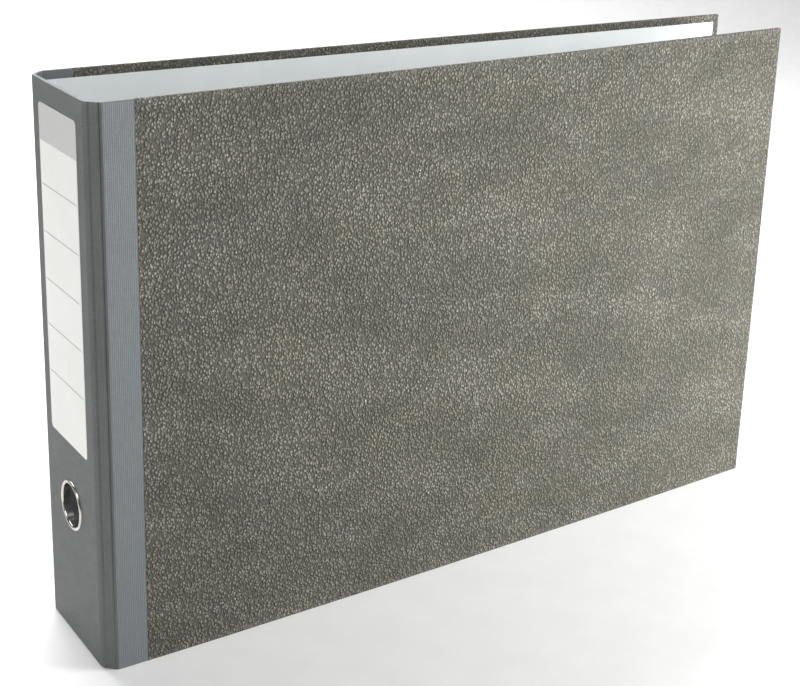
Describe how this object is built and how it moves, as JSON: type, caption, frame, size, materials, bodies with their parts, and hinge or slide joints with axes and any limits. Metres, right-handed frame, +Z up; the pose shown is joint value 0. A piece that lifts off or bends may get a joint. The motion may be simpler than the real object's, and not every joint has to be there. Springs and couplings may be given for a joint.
{
  "type": "lever arch file",
  "caption": "Landscape lever arch file: cloth and marbled paper board case with a finger ring in its spine and a sprung lever arch mechanism inside.",
  "frame": {"origin": "centre of the bounding box on the surface it stands on, with the file upright on its bottom edges", "axes": "+X from the spine to the covers' fore edges, +Y from the front cover to the back cover, +Z up along the spine"},
  "size_m": [0.489, 0.086, 0.32],
  "materials": {
    "greyboard": "uncoated",
    "linen_cloth": "linen embossed, matt",
    "marbled_paper": "cloud marbled, leather-grain embossed, matt",
    "lining_paper": "smooth, matt",
    "label_paper": "printed, satin",
    "nickel_plate": "nickel plated, satin",
    "spring_steel": "blued, satin",
    "black_plastic": "moulded, satin"
  },
  "bodies": {
    "spine": {"spine_board": "greyboard", "spine_cloth": "linen_cloth", "spine_lining": "lining_paper", "spine_label": "label_paper", "finger_ring": "nickel_plate", "finger_ring_washer": "nickel_plate"},
    "front_crease": {"front_crease_board": "greyboard", "front_crease_cloth": "linen_cloth", "front_crease_lining": "lining_paper"},
    "front_cover": {"front_cover_board": "greyboard", "front_cover_cloth": "linen_cloth", "front_cover_paper": "marbled_paper", "front_cover_lining": "lining_paper"},
    "back_crease": {"back_crease_board": "greyboard", "back_crease_cloth": "linen_cloth", "back_crease_lining": "lining_paper"},
    "back_cover": {"back_cover_board": "greyboard", "back_cover_cloth": "linen_cloth", "back_cover_paper": "marbled_paper", "back_cover_lining": "lining_paper", "base_plate": "nickel_plate", "mounting_rivets": "nickel_plate", "post_lower": "nickel_plate", "post_upper": "nickel_plate", "leaf_spring": "spring_steel", "spring_rivets": "nickel_plate", "lever_pin": "nickel_plate"},
    "arch": {"arch_wire": "nickel_plate"},
    "lever": {"lever": "nickel_plate", "roller_pin": "nickel_plate"},
    "roller": {"lever_roller": "nickel_plate"},
    "compressor": {"compressor_bar": "nickel_plate", "catch_rivets": "nickel_plate"},
    "catch": {"compressor_catch": "black_plastic"}
  },
  "joints": [
    {"name": "front_crease_fold", "type": "hinge", "parent": "spine", "child": "front_crease", "pos_m": [-0.24337, -0.036, 0.16], "axis": [0, 0, -1], "range_deg": [0, 90]},
    {"name": "front_cover_fold", "type": "hinge", "parent": "front_crease", "child": "front_cover", "pos_m": [-0.23637, -0.043, 0.16], "axis": [0, 0, -1], "range_deg": [0, 90]},
    {"name": "back_crease_fold", "type": "hinge", "parent": "spine", "child": "back_crease", "pos_m": [-0.24337, 0.036, 0.16], "axis": [0, 0, 1], "range_deg": [0, 90]},
    {"name": "back_cover_fold", "type": "hinge", "parent": "back_crease", "child": "back_cover", "pos_m": [-0.23637, 0.043, 0.16], "axis": [0, 0, 1], "range_deg": [0, 90]},
    {"name": "lever_lift", "type": "hinge", "parent": "back_cover", "child": "lever", "pos_m": [-0.19291, 0.0216, 0.14], "axis": [0.9997, -0.0262, 0], "range_deg": [0, 79]},
    {"name": "arch_open", "type": "hinge", "parent": "back_cover", "child": "arch", "pos_m": [-0.20755, 0.03574, 0.16], "axis": [0, 0, -1], "range_deg": [0, 31.6], "deforming": ["leaf_spring"]},
    {"name": "roller_spin", "type": "hinge", "parent": "lever", "child": "roller", "pos_m": [-0.19274, 0.02818, 0.14239], "axis": [0.9997, -0.0262, 0], "range_deg": [-142.2, 0]},
    {"name": "compressor_slide", "type": "slide", "parent": "back_cover", "child": "compressor", "axis": [-0.0262, -0.9997, 0], "range_m": [0, 0.04]},
    {"name": "catch_slide", "type": "slide", "parent": "compressor", "child": "catch", "axis": [0, 0, 1], "range_m": [0, 0.004]}
  ],
  "couplings": [
    {"joint": "arch_open", "follows": "lever_lift", "ratio": 0.4},
    {"joint": "roller_spin", "follows": "lever_lift", "ratio": -1.8}
  ]
}
